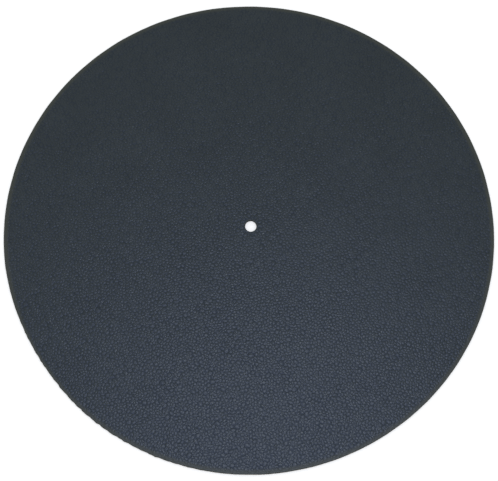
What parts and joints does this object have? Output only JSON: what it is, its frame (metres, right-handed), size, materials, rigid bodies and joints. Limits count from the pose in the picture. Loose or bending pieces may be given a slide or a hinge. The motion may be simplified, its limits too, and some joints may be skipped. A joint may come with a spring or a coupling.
{
  "type": "turntable platter mat",
  "caption": "Thin round leather mat with a punched centre hole, laid on a turntable platter to carry and damp a record.",
  "frame": {"origin": "centre of the underside, on the axis of the spindle hole", "axes": "+Z along the spindle axis, from the flesh side up to the grain side; the mat is thinnest along Z; the picture's near side is -Y"},
  "size_m": [0.3, 0.3, 0.002],
  "materials": {
    "leather": "dyed black-navy, pebble grain, satin"
  },
  "bodies": {
    "root": {"leather_mat": "leather"}
  },
  "joints": []
}
